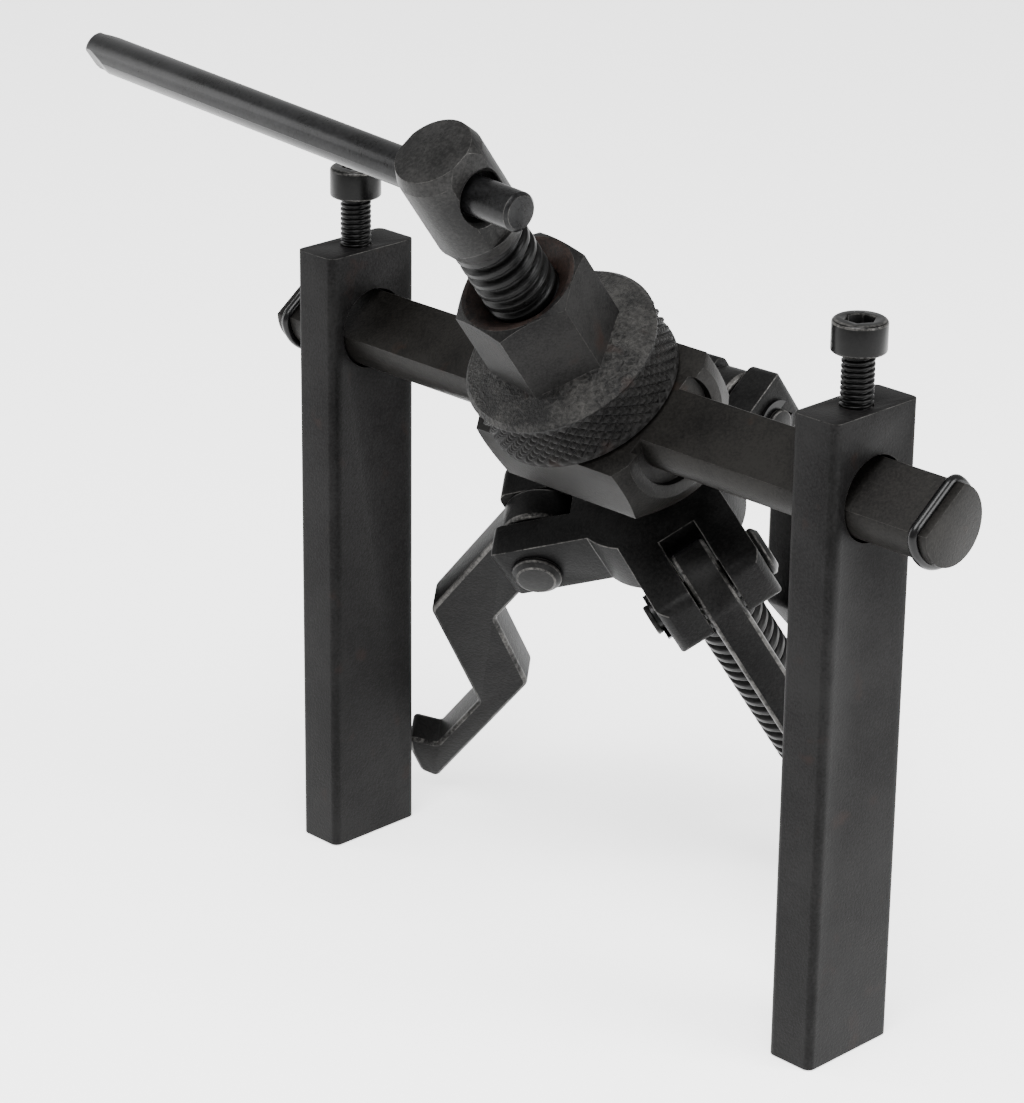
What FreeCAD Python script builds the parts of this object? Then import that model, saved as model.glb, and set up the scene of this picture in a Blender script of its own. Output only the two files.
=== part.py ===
import FreeCAD, Part
import math
import os

# Three-jaw internal puller: a forcing screw with a T handle, a knurled nut bearing on a crossbar,
# two legs clamped on the crossbar, and three outward-hooked jaws on a threaded carrier.
# Millimetres. Origin: centre of the left leg's foot face. +X runs along the crossbar, +Z is up.

# ---- crossbar ----
bar_dia = 15.0
bar_length = 166.4
bar_shift = 2.7               # bar centre from the screw axis, towards the right leg
bar_height = 109.0            # crossbar axis above the seating plane
bar_flat = 4.3                # milled flat, above the crossbar axis
hub_across_flats = 30.4
hub_length = 38.6
hub_shift = 1.3               # hub centre from the screw axis, towards the right leg
hub_end_dia = 25.4            # turned end face
hub_end_angle = 30.0          # slope of the turned corners
hub_recess_dia = 20.6
hub_recess_depth = 1.6
ring_wire = 2.0
ring_stand = 0.15             # wire centre outside the bar's surface
ring_corner = 2.4             # bend at each end of the straight
ring_to_end = 2.8             # groove centre to the bar's end
ring_gap = 5.0
ring_fit = 0.04

# ---- legs and their clamp screws ----
leg_thickness = 10.2
leg_width = 22.0
leg_above_bar = 16.1          # leg top above the crossbar axis
leg_corner = 1.5
leg_bore_play = 0.5           # radial, leg bore round the crossbar
left_leg_at = 65.5            # from the screw axis
right_leg_at = 63.0
clamp_dia = 6.0
clamp_length = 18.0
clamp_head_dia = 10.0
clamp_head_height = 6.0
clamp_socket = 5.0            # across flats
clamp_socket_depth = 3.2
clamp_tip_gap = 0.25

# ---- forcing screw and its T handle ----
head_tilt = 36.4              # screw axis leans towards -Y from the vertical
thread_dia = 14.0
thread_play = 0.08            # radial, thread in the nut and the carrier
hub_play = 0.3                # radial, screw through the crossbar
thread_top = 47.8             # all heights below are along the screw axis, from the crossbar axis
screw_tip = -118.0
tip_dia = 5.0
tip_length = 9.0
neck_height = 3.2
head_dia = 16.6
head_top = 69.8
head_flats = 14.4
head_chamfer = 0.9
handle_hole_at = 60.2
handle_hole_play = 1.1        # radial
handle_hole_chamfer = 0.8
handle_turn = -3.6            # T handle about the screw axis, from the crossbar direction
handle_dia = 7.2
handle_left = 106.0           # reach from the screw axis
handle_right = 17.0
handle_tip_length = 7.0       # flattened end
handle_tip_thickness = 4.4
handle_shoulder = 5.0         # slope from the round to the flats

# ---- knurled nut ----
seat_gap = 0.1
nut_rim_dia = 38.2
nut_rim_height = 11.0
nut_rim_chamfer = 0.8
nut_shoulder = 2.4
nut_hex = 22.6                # across flats
nut_top = 34.4
nut_mouth_dia = 20.5
nut_mouth_depth = 2.6
nut_turn = 52.0               # hexagon about the screw axis

# ---- jaw carrier ----
carrier_top = -24.3
carrier_height = 12.7
carrier_core_dia = 31.0
carrier_turn = 1.5
arm_reach = 32.1
arm_width = 22.0
arm_tip_radius = 2.2
slot_play = 0.4               # each side of a jaw
slot_root = 15.4
pin_radius = 24.6             # pin axis from the screw axis
pin_below_top = 7.3
pin_dia = 6.0
pin_play = 0.06
pin_head_dia = 9.8
pin_head_height = 1.9
pin_tail = 1.9                # past the arm, holds the clip
clip_dia = 9.4
clip_thickness = 0.8
clip_groove_depth = 0.7
clip_slot = 3.6

# ---- jaws (outline with the upper limb parallel to the screw axis, pin at the origin) ----
jaw_thickness = 7.0
jaw_eye_radius = 8.2
jaw_outer = 7.8               # outer edge of the upper limb
jaw_inner = -4.1              # inner edge of the upper limb
jaw_elbow_outer = -33.1       # start of the 45 degree crank
jaw_elbow_inner = -27.8
jaw_foot_outer = -14.1        # lower limb
jaw_foot_inner = -19.5
jaw_hook_at = -74.2
jaw_hook_reach = 6.0
jaw_tip_at = -84.8
jaw_swing = (52.2, 10.0, 7.0)  # outward swing of each jaw
arm_angles = (210.0, 330.0, 90.0)

X = FreeCAD.Vector(1, 0, 0)
Z = FreeCAD.Vector(0, 0, 1)


def vec(x, y, z):
    return FreeCAD.Vector(x, y, z)


def cylinder(radius, low, high, axis=Z, centre=vec(0, 0, 0)):
    """Cylinder along axis, between two stations measured from centre."""
    return Part.makeCylinder(radius, high - low, centre + axis * low, axis)


def block(low, high):
    """Axis-aligned box between two corners."""
    return Part.makeBox(high.x - low.x, high.y - low.y, high.z - low.z, low)


def revolve_z(profile):
    """Solid of revolution about Z from (radius, height) corners."""
    points = [vec(r, 0, h) for r, h in profile]
    face = Part.Face(Part.makePolygon(points + points[:1]))
    return face.revolve(vec(0, 0, 0), Z, 360)


def along_x(shape):
    """Turn a shape built along Z so that it lies along X."""
    shape.rotate(vec(0, 0, 0), vec(0, 1, 0), 90)
    return shape


def hex_prism(across_flats, low, high, turn=0.0):
    """Hexagonal prism along Z."""
    corner = across_flats / math.sqrt(3)
    angles = [math.radians(turn + 60 * k) for k in range(6)]
    points = [vec(corner * math.cos(a), corner * math.sin(a), low) for a in angles]
    return Part.Face(Part.makePolygon(points + points[:1])).extrude(vec(0, 0, high - low))


def rounded_outline(corners):
    """Closed wire in the XZ plane from (x, z, radius) corners."""
    edges = []
    ends = []
    count = len(corners)
    for k in range(count):
        before = vec(corners[k - 1][0], 0, corners[k - 1][1])
        here = vec(corners[k][0], 0, corners[k][1])
        after = vec(corners[(k + 1) % count][0], 0, corners[(k + 1) % count][1])
        back = (before - here).normalize()
        on = (after - here).normalize()
        half = math.acos(max(-1.0, min(1.0, back.dot(on)))) / 2
        reach = corners[k][2] / math.tan(half)
        middle = (back + on).normalize()
        centre = here + middle * (corners[k][2] / math.sin(half))
        ends.append((here + back * reach, centre - middle * corners[k][2], here + on * reach))
    for k in range(count):
        first, top, last = ends[k]
        edges.append(Part.Arc(first, top, last).toShape())
        edges.append(Part.makeLine(last, ends[(k + 1) % count][0]))
    return Part.Wire(edges)


def in_head(shape):
    """Place a shape built about the screw axis (screw along Z, crossbar along X) in the part's frame."""
    shape.rotate(vec(0, 0, 0), X, head_tilt)
    shape.translate(vec(left_leg_at, 0, bar_height))
    return shape


def make_crossbar():
    half = hub_length / 2
    corner = hub_across_flats / math.sqrt(3)
    bar = cylinder(bar_dia / 2, bar_shift - bar_length / 2, bar_shift + bar_length / 2, X)
    hub = along_x(hex_prism(hub_across_flats, -half, half))
    run = (corner + 1 - hub_end_dia / 2) * math.tan(math.radians(hub_end_angle))
    turned = along_x(revolve_z([(0, -half), (hub_end_dia / 2, -half), (corner + 1, run - half),
                                (corner + 1, half - run), (hub_end_dia / 2, half), (0, half)]))
    hub = hub.common(turned)
    for side in (-1, 1):
        outer = side * half
        inner = side * (half - hub_recess_depth)
        low, high = min(outer, inner), max(outer, inner)
        hub = hub.cut(cylinder(hub_recess_dia / 2, low, high, X))
    hub.translate(X * hub_shift)
    body = hub.fuse(bar)
    reach = bar_length / 2 + bar_shift + 1
    body = body.cut(block(vec(-reach, -corner, bar_flat), vec(reach, corner, corner + 1)))
    body = body.cut(cylinder(thread_dia / 2 + hub_play, -corner - 1, bar_flat + 1))
    for side in (-1, 1):
        body = body.cut(ring_shape(side, ring_wire / 2 + ring_fit, 0))
    return in_head(body.removeSplitter())


def ring_shape(side, wire_radius, gap):
    """Round-wire ring near one end of the crossbar, straight across the flat, open at the gap."""
    radius = bar_dia / 2 + ring_stand
    height = bar_flat + ring_stand
    drop = height - ring_corner
    across = math.sqrt((radius - ring_corner) ** 2 - drop ** 2)
    lean = math.atan2(drop, across)
    place = vec(bar_shift + side * (bar_length / 2 - ring_to_end), 0, 0)
    pieces = []
    for end in (-1, 1):
        circle = Part.makeCircle(wire_radius, place + vec(0, end * across, height), vec(0, 1, 0))
        section = Part.Face(Part.Wire(circle))
        bend = section.revolve(place + vec(0, end * across, drop), X, end * (math.degrees(lean) - 90))
        pieces.append(bend)
    start = place + vec(0, -radius * math.cos(lean), radius * math.sin(lean))
    circle = Part.makeCircle(wire_radius, start, vec(0, -math.sin(lean), -math.cos(lean)))
    section = Part.Face(Part.Wire(circle))
    pieces.append(section.revolve(place, X, 180 + 2 * math.degrees(lean)))
    straight = cylinder(wire_radius, -across, across, vec(0, 1, 0), place + vec(0, 0, height))
    ring = straight.fuse(pieces)
    if gap:
        ring = ring.cut(block(place + vec(-ring_wire, -gap / 2, -2 * radius),
                              place + vec(ring_wire, gap / 2, 0)))
    return ring


def make_retaining_ring(side):
    return in_head(ring_shape(side, ring_wire / 2, ring_gap))


def leg_place(side):
    return vec(0, 0, 0) if side < 0 else vec(left_leg_at + right_leg_at, 0, 0)


def make_leg(side):
    top = bar_height + leg_above_bar
    half_x = leg_thickness / 2
    half_y = leg_width / 2
    leg = block(vec(-half_x, -half_y, 0), vec(half_x, half_y, top))
    upright = [e for e in leg.Edges if abs(e.Vertexes[0].Z - e.Vertexes[1].Z) > top / 2]
    leg = leg.makeFillet(leg_corner, upright)
    bar_hole = cylinder(bar_dia / 2 + leg_bore_play, -half_x - 1, half_x + 1, X, vec(0, 0, bar_height))
    tapped = cylinder(clamp_dia / 2 + thread_play, bar_height, top + 1)
    leg = leg.cut(bar_hole).cut(tapped)
    leg.translate(leg_place(side))
    return leg


def clamp_tip_height():
    """Lowest height of a clamp screw's tip that stays clear of the crossbar's sloping flat."""
    tilt = math.radians(head_tilt)
    return bar_height + bar_flat / math.cos(tilt) + clamp_dia / 2 * math.tan(tilt) + clamp_tip_gap


def make_clamp_screw(side):
    tip = clamp_tip_height()
    seat = tip + clamp_length
    radius = clamp_head_dia / 2
    bevel = clamp_dia / 12
    screw = revolve_z([(0, tip), (clamp_dia / 2 - bevel, tip), (clamp_dia / 2, tip + bevel),
                       (clamp_dia / 2, seat), (radius - bevel, seat), (radius, seat + bevel / 2),
                       (radius, seat + clamp_head_height - bevel),
                       (radius - bevel, seat + clamp_head_height), (0, seat + clamp_head_height)])
    top = seat + clamp_head_height
    screw = screw.cut(hex_prism(clamp_socket, top - clamp_socket_depth, top + 1))
    screw.translate(leg_place(side))
    return screw


def make_nut():
    bottom = bar_flat + seat_gap
    rim = nut_rim_dia / 2
    rim_top = bottom + nut_rim_height
    neck = nut_hex / math.sqrt(3)
    body = revolve_z([(0, bottom), (rim - nut_rim_chamfer, bottom), (rim, bottom + nut_rim_chamfer),
                      (rim, rim_top), (rim - nut_rim_chamfer, rim_top + nut_rim_chamfer),
                      (neck + 0.8, rim_top + nut_shoulder - 0.5), (neck - 0.6, rim_top + nut_shoulder),
                      (0, rim_top + nut_shoulder)])
    hexagon = hex_prism(nut_hex, bottom + nut_rim_height / 2, nut_top, nut_turn)
    crown = revolve_z([(0, bottom), (neck + 1, bottom), (neck + 1, nut_top - 1.6),
                       (nut_hex / 2 - 0.2, nut_top), (0, nut_top)])
    body = body.fuse(hexagon.common(crown))
    hole = thread_dia / 2 + thread_play
    body = body.cut(cylinder(hole, bottom - 1, nut_top + 1))
    mouth = revolve_z([(0, nut_top - nut_mouth_depth), (hole, nut_top - nut_mouth_depth),
                       (nut_mouth_dia / 2, nut_top), (nut_mouth_dia / 2, nut_top + 1), (0, nut_top + 1)])
    return in_head(body.cut(mouth).removeSplitter())


def make_forcing_screw():
    radius = thread_dia / 2
    head = head_dia / 2
    screw = revolve_z([(0, screw_tip), (tip_dia / 2, screw_tip), (radius, screw_tip + tip_length),
                       (radius, thread_top), (head, thread_top + neck_height),
                       (head, head_top - 3 * head_chamfer), (head - head_chamfer, head_top),
                       (0, head_top)])
    for side in (-1, 1):
        inner, outer = side * head_flats / 2, side * head_dia
        screw = screw.cut(block(vec(min(inner, outer), -head_dia, thread_top + neck_height),
                                vec(max(inner, outer), head_dia, head_top + 1)))
    centre = vec(0, 0, handle_hole_at)
    hole = handle_dia / 2 + handle_hole_play
    screw = screw.cut(cylinder(hole, -head_dia, head_dia, X, centre))
    for side in (-1, 1):
        sink = Part.makeCone(hole, hole + 2 * handle_hole_chamfer, 2 * handle_hole_chamfer,
                             centre + X * side * (head_flats / 2 - handle_hole_chamfer), X * side)
        screw = screw.cut(sink)
    screw.rotate(vec(0, 0, 0), Z, handle_turn)
    return in_head(screw)


def make_tommy_bar():
    radius = handle_dia / 2
    bevel = handle_dia / 12
    bar = along_x(revolve_z([(0, -handle_left), (radius - bevel, -handle_left),
                             (radius, bevel - handle_left), (radius, handle_right - bevel),
                             (radius - bevel, handle_right), (0, handle_right)]))
    flat_end = handle_tip_length - handle_left
    for side in (-1, 1):
        flat, rim, past = side * handle_tip_thickness / 2, side * radius, side * handle_dia
        points = [vec(-handle_left - 1, flat, -handle_dia),
                  vec(flat_end - handle_shoulder, flat, -handle_dia),
                  vec(flat_end, rim, -handle_dia),
                  vec(flat_end, past, -handle_dia),
                  vec(-handle_left - 1, past, -handle_dia)]
        waste = Part.Face(Part.makePolygon(points + points[:1])).extrude(vec(0, 0, 2 * handle_dia))
        bar = bar.cut(waste)
    bar.translate(vec(0, 0, handle_hole_at))
    bar.rotate(vec(0, 0, 0), Z, handle_turn)
    return in_head(bar)


def make_carrier():
    bottom = carrier_top - carrier_height
    cheek = jaw_thickness / 2 + slot_play
    body = cylinder(carrier_core_dia / 2, bottom, carrier_top)
    half = arm_width / 2
    for angle in arm_angles:
        arm = block(vec(0, -half, bottom), vec(arm_reach, half, carrier_top))
        rim = [e for e in arm.Edges if min(v.X for v in e.Vertexes) > arm_reach - 0.1]
        arm = arm.makeFillet(arm_tip_radius, rim)
        arm.rotate(vec(0, 0, 0), Z, angle)
        body = body.fuse(arm)
    for angle in arm_angles:
        slot = block(vec(slot_root, -cheek, bottom - 1),
                     vec(arm_reach + 1, cheek, carrier_top + 1))
        hole = cylinder(pin_dia / 2, -arm_width, arm_width, vec(0, 1, 0),
                        vec(pin_radius, 0, carrier_top - pin_below_top))
        tool = slot.fuse(hole)
        tool.rotate(vec(0, 0, 0), Z, angle)
        body = body.cut(tool)
    body = body.cut(cylinder(thread_dia / 2 + thread_play, bottom - 1, carrier_top + 1))
    body = body.removeSplitter()
    body.rotate(vec(0, 0, 0), Z, carrier_turn)
    return in_head(body)


def on_arm(shape, index):
    """Place a shape built about its pin axis (Y) on one arm of the carrier."""
    shape.translate(vec(pin_radius, 0, carrier_top - pin_below_top))
    shape.rotate(vec(0, 0, 0), Z, arm_angles[index] + carrier_turn)
    return in_head(shape)


def make_jaw(index):
    hook_out = jaw_foot_outer + jaw_hook_reach
    tip = jaw_tip_at
    corners = [(4.5, 4.5, 0.6), (jaw_outer, -1.5, 2.0), (jaw_outer, jaw_elbow_outer, 2.5),
               (jaw_foot_outer, jaw_elbow_outer - (jaw_outer - jaw_foot_outer), 2.0),
               (jaw_foot_outer, jaw_hook_at, 1.0), (hook_out, jaw_hook_at - 1.4, 1.0),
               (hook_out - 3.0, tip + 4.6, 5.0), (hook_out - 7.5, tip, 2.0),
               (jaw_foot_inner, tip, 1.2),
               (jaw_foot_inner, jaw_elbow_inner - (jaw_inner - jaw_foot_inner), 3.0),
               (jaw_inner, jaw_elbow_inner, 2.0), (jaw_inner, 4.0, 1.0)]
    half = jaw_thickness / 2
    jaw = Part.Face(rounded_outline(corners)).extrude(vec(0, jaw_thickness, 0))
    jaw.translate(vec(0, -half, 0))
    eye = cylinder(jaw_eye_radius, -half, half, vec(0, 1, 0))
    jaw = jaw.fuse(eye).cut(cylinder(pin_dia / 2 + pin_play, -half - 1, half + 1, vec(0, 1, 0)))
    jaw = jaw.removeSplitter()
    jaw.rotate(vec(0, 0, 0), vec(0, 1, 0), -jaw_swing[index])
    return on_arm(jaw, index)


def make_jaw_pin(index):
    half = arm_width / 2
    head = pin_head_dia / 2
    tail = half + pin_tail
    radius = pin_dia / 2
    neck = radius - clip_groove_depth
    pin = revolve_z([(0, -tail), (radius, -tail), (radius, -half - clip_thickness),
                     (neck, -half - clip_thickness), (neck, -half), (radius, -half), (radius, half),
                     (head, half), (head, half + pin_head_height / 2),
                     (head - 1.2, half + pin_head_height), (0, half + pin_head_height)])
    pin.rotate(vec(0, 0, 0), X, -90)
    return on_arm(pin, index)


def make_pin_clip(index):
    half = arm_width / 2
    clip = cylinder(clip_dia / 2, -half - clip_thickness, -half)
    neck = pin_dia / 2 - clip_groove_depth
    clip = clip.cut(cylinder(neck, -half - clip_thickness - 1, -half + 1))
    clip = clip.cut(block(vec(0, -clip_slot / 2, -half - clip_thickness - 1),
                          vec(clip_dia, clip_slot / 2, -half + 1)))
    clip.rotate(vec(0, 0, 0), X, -90)
    return on_arm(clip, index)


nodes = {
    "crossbar": make_crossbar(),
    "left_retaining_ring": make_retaining_ring(-1),
    "right_retaining_ring": make_retaining_ring(1),
    "left_leg": make_leg(-1),
    "right_leg": make_leg(1),
    "left_clamp_screw": make_clamp_screw(-1),
    "right_clamp_screw": make_clamp_screw(1),
    "knurled_nut": make_nut(),
    "forcing_screw": make_forcing_screw(),
    "tommy_bar": make_tommy_bar(),
    "jaw_carrier": make_carrier(),
}
for number in range(3):
    nodes["jaw_%d" % (number + 1)] = make_jaw(number)
    nodes["jaw_pin_%d" % (number + 1)] = make_jaw_pin(number)
    nodes["jaw_pin_clip_%d" % (number + 1)] = make_pin_clip(number)

os.makedirs("parts", exist_ok=True)
for name, shape in nodes.items():
    shape.exportStep("parts/%s.step" % name)
    print(name, len(shape.Solids), round(shape.Volume), shape.isValid())
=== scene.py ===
import bpy
import bmesh
import math
from mathutils import Matrix, Vector


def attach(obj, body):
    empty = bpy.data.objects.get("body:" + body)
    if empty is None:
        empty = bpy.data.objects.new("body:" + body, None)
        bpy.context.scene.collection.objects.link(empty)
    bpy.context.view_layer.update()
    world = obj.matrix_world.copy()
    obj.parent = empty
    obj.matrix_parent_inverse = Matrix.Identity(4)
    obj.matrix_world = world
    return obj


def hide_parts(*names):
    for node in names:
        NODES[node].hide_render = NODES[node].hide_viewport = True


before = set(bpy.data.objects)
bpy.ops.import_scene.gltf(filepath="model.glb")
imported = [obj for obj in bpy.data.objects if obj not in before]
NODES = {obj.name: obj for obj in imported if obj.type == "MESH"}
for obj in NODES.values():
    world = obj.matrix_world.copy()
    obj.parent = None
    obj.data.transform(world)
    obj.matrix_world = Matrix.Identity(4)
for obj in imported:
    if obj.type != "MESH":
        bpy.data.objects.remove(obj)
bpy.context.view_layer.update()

MM = 0.001
TILT = math.radians(36.4)
HEAD = Vector((0.0655, 0.0, 0.1090))
AXIS = Vector((0.0, -math.sin(TILT), math.cos(TILT)))
ACROSS = Vector((0.0, math.cos(TILT), math.sin(TILT)))
TO_PART = Matrix((
    (1.0, 0.0, 0.0, HEAD.x),
    (0.0, ACROSS.y, AXIS.y, HEAD.y),
    (0.0, ACROSS.z, AXIS.z, HEAD.z),
    (0.0, 0.0, 0.0, 1.0),
))
TO_HEAD = TO_PART.inverted()
RIGHT_LEG = HEAD.x + 63.0 * MM

# threads: crest and flank as shares of half a pitch
CREST, FLANK = 0.38, 0.36
START_RADIUS = 0.1 * MM       # first row of a threaded skin, closed by a cap

# forcing screw, measured along its axis from the crossbar's axis
THREAD_RADIUS = 7.0 * MM
THREAD_DEPTH = 1.15 * MM
THREAD_PITCH = 3.0 * MM
THREAD_TOP = 47.8 * MM
THREAD_FOOT = -109.0 * MM
THREAD_START = 1.2 * MM       # moves the crests along the axis
THREAD_FADE = 1.2 * MM        # length of the run-out at each end
THREAD_ROWS, THREAD_COLUMNS = 14, 72
CONE_RADIUS, CONE_TOP = 5.6 * MM, -111.0 * MM
TIP_RADIUS, TIP_ROUND = 2.5 * MM, 0.2 * MM
SCREW_TIP = -118.0 * MM

# knurled nut
RIM_RADIUS = 19.1 * MM
RIM_FOOT = 4.4 * MM
RIM_CHAMFER = 0.8 * MM
RIM_HEIGHT = 11.0 * MM
KNURL_STARTS = 46
KNURL_LEAN = 2.35 * MM        # height of one diamond
KNURL_DEPTH = 0.78 * MM
KNURL_ROWS = 64
KNURL_COLUMNS = 16            # for each start
KNURL_LAND, KNURL_FLANK = 0.30, 0.66
KNURL_FADE = 6.0              # the knurl fades out over a sixth of the rim at each end
SHOULDER_FOOT, SHOULDER_TOP, SHOULDER_RADIUS = 15.0 * MM, 18.6 * MM, 11.5 * MM
MOUTH_FOOT, MOUTH_RADIUS = 31.6 * MM, 10.6 * MM

# clamp screws, M6
CLAMP_RADIUS = 3.0 * MM
CLAMP_HEAD = 6.0 * MM
CLAMP_DEPTH = 0.55 * MM
CLAMP_PITCH = 1.0 * MM
CLAMP_FADE = 0.5 * MM
CLAMP_POINT, CLAMP_ENTRY = 2.4 * MM, 0.4 * MM
CLAMP_ROWS, CLAMP_COLUMNS = 10, 48

WORN_HIGHLIGHT_SLOT = 1                      # slot of the worn edge, lightened as a painted highlight, in every softened piece
WELD = 2e-6
FLAT_ANGLE = math.radians(0.6)
NEAR = 0.0001                 # slack when faces are picked by their place
FLOOR_GAP = 0.0002            # keeps the floor clear of the feet

# shares, ramp stops and spreads that all the steels have in common
FINE_SHARE = 0.45
COARSE_SHARE = 0.55
DARK_STOP, LIGHT_STOP = 0.42, 0.60
TINT_SCALE, TINT_FADE = 140.0, 0.14
SMOOTHER, ROUGHER = 0.10, 0.12


# ---------------------------------------------------------------- materials
def noise(nt, coord, scale, detail, roughness=0.5):
    """Noise texture in the piece's own coordinates."""
    tex = nt.nodes.new("ShaderNodeTexNoise")
    tex.inputs["Scale"].default_value = scale
    tex.inputs["Detail"].default_value = detail
    tex.inputs["Roughness"].default_value = roughness
    nt.links.new(coord.outputs["Object"], tex.inputs["Vector"])
    return tex


def steel(name, dark, light, metallic, rough, grain=900.0, bump=0.25, blotch=60.0, tint=None,
          tint_at=0.62, shine=0.12, relief_mm=0.10):
    """Blackened steel: two-tone blotches, fine grain, uneven roughness and an optional brown tint."""
    mat = bpy.data.materials.new(name)
    mat.use_nodes = True
    nt = mat.node_tree
    out = nt.nodes["Principled BSDF"]
    out.inputs["Metallic"].default_value = metallic
    out.inputs["Specular IOR Level"].default_value = shine
    coord = nt.nodes.new("ShaderNodeTexCoord")
    coarse = noise(nt, coord, blotch, 6.0, 0.62)
    fine = noise(nt, coord, grain, 3.0, 0.7)
    share = nt.nodes.new("ShaderNodeMath")
    share.operation = "MULTIPLY"
    share.inputs[1].default_value = COARSE_SHARE
    nt.links.new(coarse.outputs["Fac"], share.inputs[0])
    mix = nt.nodes.new("ShaderNodeMath")
    mix.operation = "MULTIPLY_ADD"
    mix.inputs[1].default_value = FINE_SHARE
    nt.links.new(fine.outputs["Fac"], mix.inputs[0])
    nt.links.new(share.outputs[0], mix.inputs[2])
    ramp = nt.nodes.new("ShaderNodeValToRGB")
    ramp.color_ramp.elements[0].position = DARK_STOP
    ramp.color_ramp.elements[0].color = (*dark, 1.0)
    ramp.color_ramp.elements[1].position = LIGHT_STOP
    ramp.color_ramp.elements[1].color = (*light, 1.0)
    nt.links.new(mix.outputs[0], ramp.inputs["Fac"])
    colour = ramp.outputs["Color"]
    if tint:
        spots = noise(nt, coord, TINT_SCALE, 5.0)
        mask = nt.nodes.new("ShaderNodeValToRGB")
        mask.color_ramp.elements[0].position = tint_at
        mask.color_ramp.elements[1].position = tint_at + TINT_FADE
        nt.links.new(spots.outputs["Fac"], mask.inputs["Fac"])
        blend = nt.nodes.new("ShaderNodeMix")
        blend.data_type = "RGBA"
        blend.inputs["B"].default_value = (*tint, 1.0)
        nt.links.new(mask.outputs["Color"], blend.inputs["Factor"])
        nt.links.new(colour, blend.inputs["A"])
        colour = blend.outputs["Result"]
    nt.links.new(colour, out.inputs["Base Color"])
    span = nt.nodes.new("ShaderNodeMapRange")
    span.inputs["To Min"].default_value = rough - SMOOTHER
    span.inputs["To Max"].default_value = rough + ROUGHER
    nt.links.new(mix.outputs[0], span.inputs["Value"])
    nt.links.new(span.outputs["Result"], out.inputs["Roughness"])
    relief = nt.nodes.new("ShaderNodeBump")
    relief.inputs["Strength"].default_value = bump
    relief.inputs["Distance"].default_value = relief_mm * MM
    nt.links.new(fine.outputs["Fac"], relief.inputs["Height"])
    nt.links.new(relief.outputs["Normal"], out.inputs["Normal"])
    return mat


LEG = steel("leg_steel", (0.0017, 0.0016, 0.0016), (0.0078, 0.0076, 0.0076), metallic=0.10, rough=0.52,
            grain=1900, bump=0.80, blotch=45, tint=(0.0100, 0.0060, 0.0050), tint_at=0.63, shine=0.07)
BAR = steel("crossbar_steel", (0.0022, 0.0020, 0.0018), (0.0090, 0.0084, 0.0076), metallic=0.20, rough=0.44,
            grain=1900, bump=0.60, blotch=50, tint=(0.0130, 0.0080, 0.0058), tint_at=0.66, shine=0.09)
CAP = steel("cap_screw_steel", (0.0008, 0.0008, 0.0008), (0.0024, 0.0024, 0.0023), metallic=0.15, rough=0.30,
            grain=900, bump=0.20, blotch=120)
WIRE = steel("spring_steel", (0.0010, 0.0010, 0.0011), (0.0036, 0.0036, 0.0038), metallic=0.30, rough=0.24,
             grain=900, bump=0.15, blotch=120, shine=0.25)
NUT = steel("nut_steel", (0.0016, 0.0015, 0.0015), (0.0095, 0.0092, 0.0089), metallic=0.12, rough=0.48,
            grain=1900, bump=0.90, blotch=70, tint=(0.0105, 0.0070, 0.0060), tint_at=0.62, shine=0.08)
# rough forged band at the foot of the hexagon, its lighter colour partly a painted highlight on the band
FORGED_AND_HIGHLIGHT = steel("nut_forged_painted_highlight", (0.0030, 0.0029, 0.0028), (0.0260, 0.0250, 0.0235), metallic=0.25, rough=0.44,
              grain=1300, bump=1.00, blotch=120, tint=(0.0160, 0.0100, 0.0082), tint_at=0.64, shine=0.15,
              relief_mm=0.45)
MOUTH = steel("nut_mouth", (0.0030, 0.0022, 0.0019), (0.0170, 0.0105, 0.0085), metallic=0.12, rough=0.50,
              grain=1800, bump=0.90, blotch=160, tint=(0.0300, 0.0150, 0.0110), tint_at=0.52, shine=0.10)
SCREW = steel("screw_steel", (0.0040, 0.0039, 0.0038), (0.0170, 0.0165, 0.0160), metallic=0.20, rough=0.42,
              grain=1600, bump=0.70, blotch=60)
THREAD = steel("thread_steel", (0.0014, 0.0014, 0.0014), (0.0060, 0.0059, 0.0058), metallic=0.25, rough=0.34,
               grain=1400, bump=0.30, blotch=90)
HANDLE = steel("handle_steel", (0.0030, 0.0030, 0.0031), (0.0100, 0.0100, 0.0104), metallic=0.30, rough=0.28,
               grain=1500, bump=0.20, blotch=80, shine=0.16)
CAST = steel("cast_steel", (0.0012, 0.0012, 0.0012), (0.0062, 0.0061, 0.0060), metallic=0.12, rough=0.46,
             grain=1500, bump=0.90, blotch=60, shine=0.07)
JAW = steel("jaw_steel", (0.0014, 0.0014, 0.0014), (0.0064, 0.0063, 0.0061), metallic=0.12, rough=0.46,
            grain=1500, bump=0.80, blotch=60, shine=0.07)
PIN = steel("pin_steel", (0.0024, 0.0024, 0.0023), (0.0090, 0.0088, 0.0086), metallic=0.20, rough=0.38,
            grain=1400, bump=0.35, blotch=90)
# rounded edges: partly real wear, partly a painted highlight, far lighter than the steels to stand in for
# the glints along the edges
WORN_AND_HIGHLIGHT_EDGE = steel("worn_edge_and_painted_highlight", (0.0040, 0.0039, 0.0038), (0.0620, 0.0600, 0.0570), metallic=0.45, rough=0.36,
             grain=1300, bump=0.40, blotch=160)


# ---------------------------------------------------------------- geometry helpers
def welded(node):
    """Copy of a CAD node's mesh with its doubled vertices joined."""
    bm = bmesh.new()
    bm.from_mesh(NODES[node].data)
    bmesh.ops.remove_doubles(bm, verts=bm.verts, dist=WELD)
    return bm


def merge_flats(bm):
    """Join the triangles of each flat face into one face."""
    bmesh.ops.dissolve_limit(bm, angle_limit=FLAT_ANGLE, verts=bm.verts, edges=bm.edges)


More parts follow.
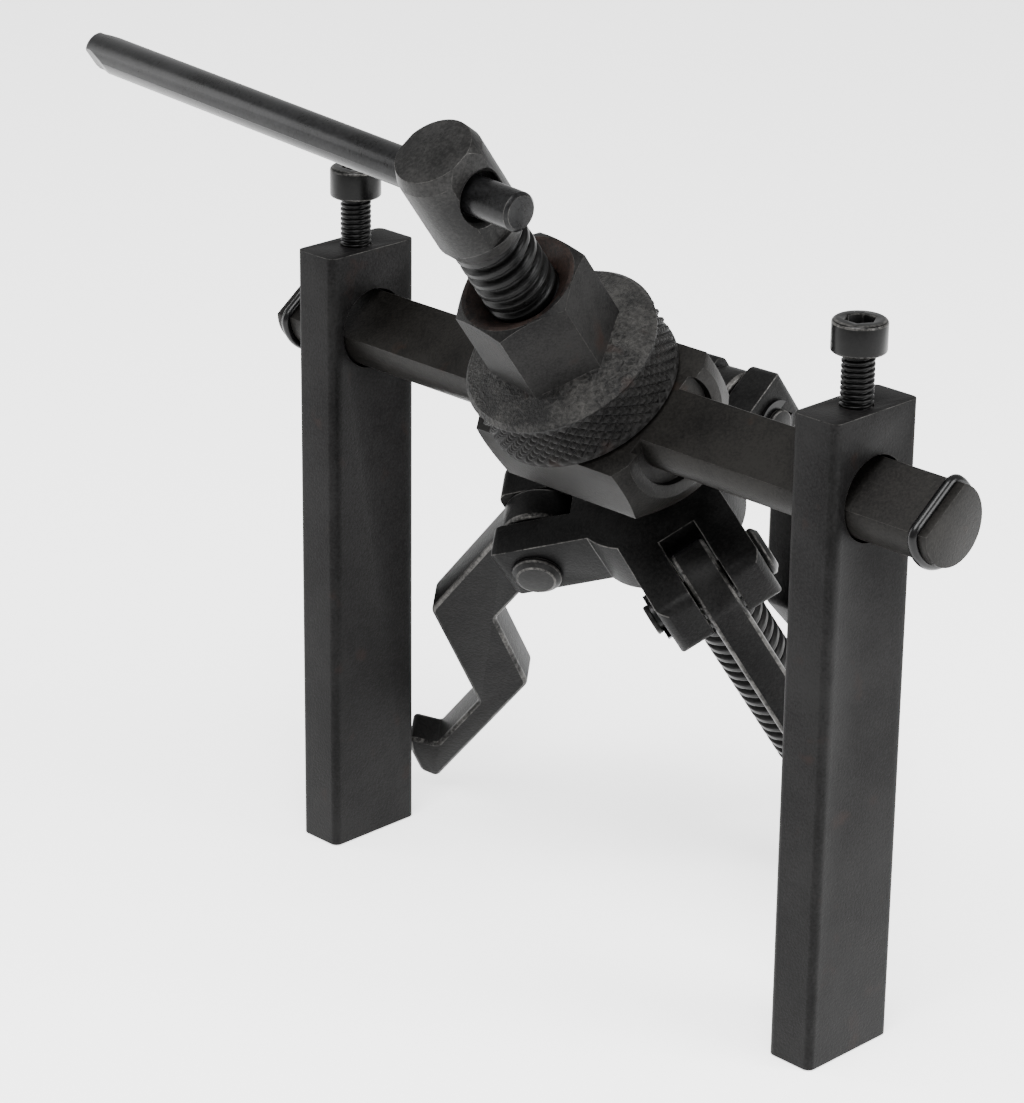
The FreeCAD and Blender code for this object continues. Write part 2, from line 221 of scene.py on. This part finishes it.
def finish_piece(bm, node, body, materials, smooth):
    """Make an object of the mesh, let it stand for the node and ride on the body."""
    name = node + "_shape"
    mesh = bpy.data.meshes.new(name)
    bm.to_mesh(mesh)
    bm.free()
    for mat in materials:
        mesh.materials.append(mat)
    obj = bpy.data.objects.new(name, mesh)
    bpy.context.scene.collection.objects.link(obj)
    mesh.polygons.foreach_set("use_smooth", [True] * len(mesh.polygons))
    mesh.set_sharp_from_angle(angle=math.radians(smooth))
    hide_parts(node)
    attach(obj, body)


def soften(bm, width, segments=2, angle=28.0, skip=None):
    """Round the sharp edges. The new faces take material 1, the worn edge with its painted highlight."""
    edges = [e for e in bm.edges if len(e.link_faces) == 2 and e.calc_face_angle(0) > math.radians(angle)]
    if skip:
        edges = [e for e in edges if not skip(e)]
    made = bmesh.ops.bevel(bm, geom=edges, offset=width, offset_type="OFFSET", segments=segments,
                           profile=0.5, affect="EDGES", clamp_overlap=True)
    for f in made["faces"]:
        f.material_index = WORN_HIGHLIGHT_SLOT


def soft_node(node, body, mat, width, segments=2):
    """The CAD shape with its edges rounded, worn and lightened as a painted highlight."""
    bm = welded(node)
    merge_flats(bm)
    soften(bm, width, segments)
    finish_piece(bm, node, body, [mat, WORN_AND_HIGHLIGHT_EDGE], smooth=40.0)


def level(radius, height):
    """A round row for lathe_rows."""
    return lambda angle: (radius, height)


def lathe_rows(bm, rows, count, place, material, cap=False):
    """Rings of vertices joined into a skin. rows is a list of functions angle -> (radius, height)."""
    rings = []
    for row in rows:
        ring = []
        for k in range(count):
            angle = 2 * math.pi * k / count
            radius, height = row(angle)
            corner = Vector((radius * math.cos(angle), radius * math.sin(angle), height))
            ring.append(bm.verts.new(place @ corner))
        rings.append(ring)
    for low, high in zip(rings, rings[1:]):
        for k in range(count):
            n = (k + 1) % count
            face = bm.faces.new((low[k], low[n], high[n], high[k]))
            face.material_index = material
    if cap:
        bm.faces.new(list(reversed(rings[0]))).material_index = material


def thread_rows(radius, depth, pitch, low, high, per_pitch, run_out, start=0.0):
    """Rows of a right-hand thread with rounded crests, fading out at both ends."""
    rows = []
    count = int(round((high - low) / pitch * per_pitch))
    for i in range(count + 1):
        z = low + (high - low) * i / count
        fade = max(0.0, min(1.0, (z - low) / run_out, (high - z) / run_out))

        def row(angle, z=z, fade=fade):
            phase = ((z - start) / pitch - angle / (2 * math.pi)) % 1.0
            away = abs(phase - 0.5) * 2
            wave = min(1.0, max(0.0, (away - CREST) / FLANK))
            wave = wave * wave * (3 - 2 * wave)
            return radius - depth * wave * fade, z
        rows.append(row)
    return rows


def drop_faces(bm, test):
    """Delete the faces whose centre passes the test, and what is left loose."""
    gone = [f for f in bm.faces if test(f)]
    bmesh.ops.delete(bm, geom=gone, context="FACES")
    loose = [v for v in bm.verts if not v.link_faces]
    bmesh.ops.delete(bm, geom=loose, context="VERTS")


def from_axis(point):
    """Distance of a point from the screw axis, and its height along it."""
    seen = TO_HEAD @ point
    return math.hypot(seen.x, seen.y), seen.z


# ---------------------------------------------------------------- pieces with threads or a knurl
def make_forcing_screw():
    """Forged head from CAD on a threaded rod with a pilot point."""
    bm = welded("forcing_screw")
    drop_faces(bm, lambda f: from_axis(f.calc_center_median())[1] < THREAD_TOP - 2 * NEAR)
    merge_flats(bm)
    soften(bm, 0.35 * MM, angle=18.0)
    rows = [level(START_RADIUS, SCREW_TIP), level(TIP_RADIUS - TIP_ROUND, SCREW_TIP),
            level(TIP_RADIUS, SCREW_TIP + TIP_ROUND), level(CONE_RADIUS, CONE_TOP)]
    rows += thread_rows(THREAD_RADIUS, THREAD_DEPTH, THREAD_PITCH, THREAD_FOOT, THREAD_TOP, THREAD_ROWS,
                        THREAD_FADE, THREAD_START)
    lathe_rows(bm, rows, THREAD_COLUMNS, TO_PART, 2, cap=True)
    finish_piece(bm, "forcing_screw", "forcing_screw", [SCREW, WORN_AND_HIGHLIGHT_EDGE, THREAD], smooth=50.0)


def make_nut():
    """The CAD nut with its rim wall replaced by a diamond knurl."""
    bm = welded("knurled_nut")
    low, high = RIM_FOOT + RIM_CHAMFER, RIM_FOOT + RIM_HEIGHT

    def on_rim(f):
        out, z = from_axis(f.calc_center_median())
        return out > RIM_RADIUS - 0.15 * MM and low - NEAR < z < high + NEAR

    def at_rim(e):
        return any(from_axis(v.co)[0] > RIM_RADIUS - 0.3 * MM for v in e.verts)

    drop_faces(bm, on_rim)
    merge_flats(bm)
    soften(bm, 0.45 * MM, skip=at_rim)
    # shoulder faces take the forged material, lighter as a painted highlight; the mouth faces take the
    # reddish-brown stain
    for f in bm.faces:
        out, z = from_axis(f.calc_center_median())
        if SHOULDER_FOOT < z < SHOULDER_TOP and out > SHOULDER_RADIUS:
            f.material_index = 2
        elif z > MOUTH_FOOT and out < MOUTH_RADIUS:
            f.material_index = 3
    rows = []
    for i in range(KNURL_ROWS + 1):
        z = low + (high - low) * i / KNURL_ROWS
        fade = min(1.0, KNURL_FADE * min(i, KNURL_ROWS - i) / KNURL_ROWS)

        def row(angle, z=z, fade=fade):
            turn = angle * KNURL_STARTS / (2 * math.pi)
            u = abs(((turn + z / KNURL_LEAN) % 1.0) - 0.5) * 2
            v = abs(((turn - z / KNURL_LEAN) % 1.0) - 0.5) * 2
            groove = max(0.0, min(1.0, (max(u, v) - KNURL_LAND) / KNURL_FLANK))
            return RIM_RADIUS - KNURL_DEPTH * groove * fade, z
        rows.append(row)
    lathe_rows(bm, rows, KNURL_STARTS * KNURL_COLUMNS, TO_PART, 0)
    finish_piece(bm, "knurled_nut", "knurled_nut", [NUT, WORN_AND_HIGHLIGHT_EDGE, FORGED_AND_HIGHLIGHT, MOUTH], smooth=32.0)


def make_clamp(side, x):
    """Socket head from CAD on a threaded shank."""
    node = side + "_clamp_screw"
    bm = welded(node)
    low, high = min(v.co.z for v in bm.verts), max(v.co.z for v in bm.verts)
    seat = high - CLAMP_HEAD
    drop_faces(bm, lambda f: f.calc_center_median().z < seat - NEAR)
    merge_flats(bm)
    soften(bm, 0.25 * MM)
    rows = [level(START_RADIUS, low), level(CLAMP_POINT, low)]
    rows += thread_rows(CLAMP_RADIUS, CLAMP_DEPTH, CLAMP_PITCH, low + CLAMP_ENTRY, seat, CLAMP_ROWS,
                        CLAMP_FADE)
    lathe_rows(bm, rows, CLAMP_COLUMNS, Matrix.Translation((x, 0, 0)), 0, cap=True)
    finish_piece(bm, node, node, [CAP, WORN_AND_HIGHLIGHT_EDGE], smooth=45.0)


make_forcing_screw()
make_nut()
make_clamp("left", 0.0)
make_clamp("right", RIGHT_LEG)
soft_node("crossbar", "crossbar", BAR, 0.20 * MM)
soft_node("left_leg", "left_leg", LEG, 0.30 * MM)
soft_node("right_leg", "right_leg", LEG, 0.30 * MM)
soft_node("tommy_bar", "tommy_bar", HANDLE, 0.35 * MM)
soft_node("jaw_carrier", "jaw_carrier", CAST, 0.55 * MM, 3)
wires = ["left_retaining_ring", "right_retaining_ring"]
for n in "123":
    soft_node("jaw_" + n, "jaw_" + n, JAW, 0.75 * MM, 3)
    soft_node("jaw_pin_" + n, "jaw_carrier", PIN, 0.25 * MM)
    wires.append("jaw_pin_clip_" + n)
for node in wires:
    NODES[node].data.materials.clear()
    NODES[node].data.materials.append(WIRE)

# ---------------------------------------------------------------- floor, light, camera
bpy.ops.mesh.primitive_plane_add(size=6.0, location=(0, 0, -FLOOR_GAP))
floor = bpy.context.object
floor.name = "floor"
paper = bpy.data.materials.new("paper")
paper.use_nodes = True
sheet = paper.node_tree.nodes["Principled BSDF"]
sheet.inputs["Base Color"].default_value = (0.97, 0.97, 0.97, 1)
sheet.inputs["Emission Color"].default_value = (1, 1, 1, 1)
sheet.inputs["Emission Strength"].default_value = 1.5
sheet.inputs["Roughness"].default_value = 0.9
floor.data.materials.append(paper)

world = bpy.data.worlds.new("studio")
bpy.context.scene.world = world
world.use_nodes = True
sky = world.node_tree.nodes["Background"]
sky.inputs["Color"].default_value = (1.0, 1.0, 1.0, 1)
sky.inputs["Strength"].default_value = 0.9


def area(name, place, target, size, watts):
    """Rectangular light turned towards a target."""
    light = bpy.data.lights.new(name, "AREA")
    light.shape = "RECTANGLE"
    light.size, light.size_y = size
    light.energy = watts
    obj = bpy.data.objects.new(name, light)
    bpy.context.scene.collection.objects.link(obj)
    obj.location = place
    obj.rotation_euler = (Vector(target) - Vector(place)).to_track_quat("-Z", "Y").to_euler()


LIT = (0.065, 0.0, 0.08)
area("key", (0.25, -0.35, 0.85), LIT, size=(0.5, 0.5), watts=15.0)
area("side", (0.85, 0.25, 0.45), LIT, size=(0.5, 0.5), watts=12.0)
area("left", (-0.7, -0.5, 0.35), LIT, size=(0.4, 0.6), watts=5.0)

AZ, EL, ROLL = math.radians(45.29), math.radians(21.64), math.radians(0.61)
FOCAL_PIXELS, TALL_PIXELS = 3839.0, 1103.0
SENSOR = 36.0
CAMERA_AWAY = 0.7144
AIM_FROM_HEAD = Vector((-5.05, -16.11, -26.67)) * MM
back = Vector((math.sin(AZ) * math.cos(EL), -math.cos(AZ) * math.cos(EL), math.sin(EL)))
right = Vector((0, 0, 1)).cross(back).normalized()
up = back.cross(right)
rolled_right = right * math.cos(ROLL) + up * math.sin(ROLL)
rolled_up = up * math.cos(ROLL) - right * math.sin(ROLL)
spot = HEAD + AIM_FROM_HEAD + back * CAMERA_AWAY
cam = bpy.data.cameras.new("camera")
cam.sensor_width = SENSOR
cam.sensor_fit = "AUTO"
cam.lens = FOCAL_PIXELS * SENSOR / TALL_PIXELS
cam.clip_start, cam.clip_end = 0.01, 20.0
camera = bpy.data.objects.new("camera", cam)
bpy.context.scene.collection.objects.link(camera)
camera.matrix_world = Matrix((
    (rolled_right.x, rolled_up.x, back.x, spot.x),
    (rolled_right.y, rolled_up.y, back.y, spot.y),
    (rolled_right.z, rolled_up.z, back.z, spot.z),
    (0.0, 0.0, 0.0, 1.0),
))
bpy.context.scene.camera = camera
